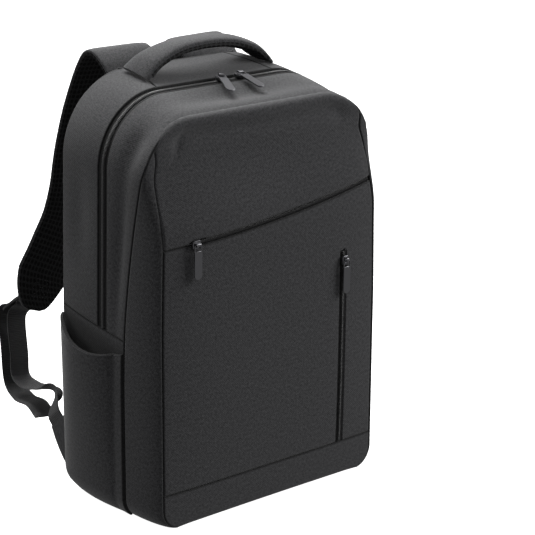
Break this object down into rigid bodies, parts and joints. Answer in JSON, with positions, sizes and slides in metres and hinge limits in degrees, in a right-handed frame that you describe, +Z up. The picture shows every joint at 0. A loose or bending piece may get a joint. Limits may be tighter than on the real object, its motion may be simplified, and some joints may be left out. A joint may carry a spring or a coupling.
{
  "type": "laptop backpack",
  "caption": "Rectangular laptop backpack with rounded upper corners, a panel-style front pocket, a padded handle, curved shoulder straps and an open side pocket.",
  "frame": {"origin": "middle of the base panel's flat under face, on the floor", "axes": "+Z up, front pocket towards -Y, shoulder straps towards +Y, open side pocket on the -X side"},
  "size_m": [0.3228, 0.331, 0.466],
  "materials": {
    "melange_cloth": "dark grey melange twill of polyester, matt",
    "black_mesh": "black spacer mesh, matt",
    "black_webbing": "black woven tape and webbing",
    "black_plastic": "moulded matt black plastic",
    "gunmetal": "satin gunmetal plating"
  },
  "bodies": {
    "bag": {"back_gusset_right": "melange_cloth", "back_gusset_left": "melange_cloth", "top_band": "melange_cloth", "front_gusset": "melange_cloth", "side_panel_right": "melange_cloth", "side_panel_left": "melange_cloth", "front_strip_right": "melange_cloth", "front_strip_left": "melange_cloth", "base_panel": "melange_cloth", "front_hem": "melange_cloth", "front_panel_upper": "melange_cloth", "front_panel_lower": "melange_cloth", "main_zip": "black_webbing", "diagonal_zip": "black_webbing", "vertical_zip": "black_webbing", "back_strip_right": "melange_cloth", "back_strip_left": "melange_cloth", "back_mesh_upper": "black_mesh", "trolley_band": "black_webbing", "back_mesh_lower": "black_mesh", "yoke": "melange_cloth", "strap_pad_right": "melange_cloth", "strap_mesh_right": "black_mesh", "strap_patch_right": "black_webbing", "ladder_lock_right": "black_plastic", "webbing_right": "black_webbing", "strap_pad_left": "melange_cloth", "strap_mesh_left": "black_mesh", "strap_patch_left": "black_webbing", "ladder_lock_left": "black_plastic", "webbing_left": "black_webbing", "corner_tab_right": "melange_cloth", "corner_tab_left": "melange_cloth", "handle_grip": "melange_cloth", "handle_mesh": "black_mesh", "side_pocket": "melange_cloth", "slider_top_left": "gunmetal", "slider_top_right": "gunmetal", "slider_diagonal": "gunmetal", "slider_vertical": "gunmetal"},
    "top_left_pull": {"pull_top_left": "gunmetal"},
    "top_right_pull": {"pull_top_right": "gunmetal"},
    "diagonal_pull": {"pull_diagonal": "gunmetal"},
    "vertical_pull": {"pull_vertical": "gunmetal"}
  },
  "joints": [
    {"name": "top_left_pull_swing", "type": "hinge", "parent": "bag", "child": "top_left_pull", "pos_m": [0, 0.00341, 0.432], "axis": [-0.9428, 0.3192, 0.0965], "range_deg": [0, 150]},
    {"name": "top_right_pull_swing", "type": "hinge", "parent": "bag", "child": "top_right_pull", "pos_m": [0.025, 0.00341, 0.432], "axis": [-0.9982, -0.0574, -0.0174], "range_deg": [0, 150]},
    {"name": "diagonal_pull_swing", "type": "hinge", "parent": "bag", "child": "diagonal_pull", "pos_m": [-0.10251, -0.08551, 0.29262], "axis": [-1, 0, 0], "range_deg": [0, 170]},
    {"name": "vertical_pull_swing", "type": "hinge", "parent": "bag", "child": "vertical_pull", "pos_m": [0.094, -0.08639, 0.24], "axis": [-1, 0, 0], "range_deg": [0, 170]}
  ]
}
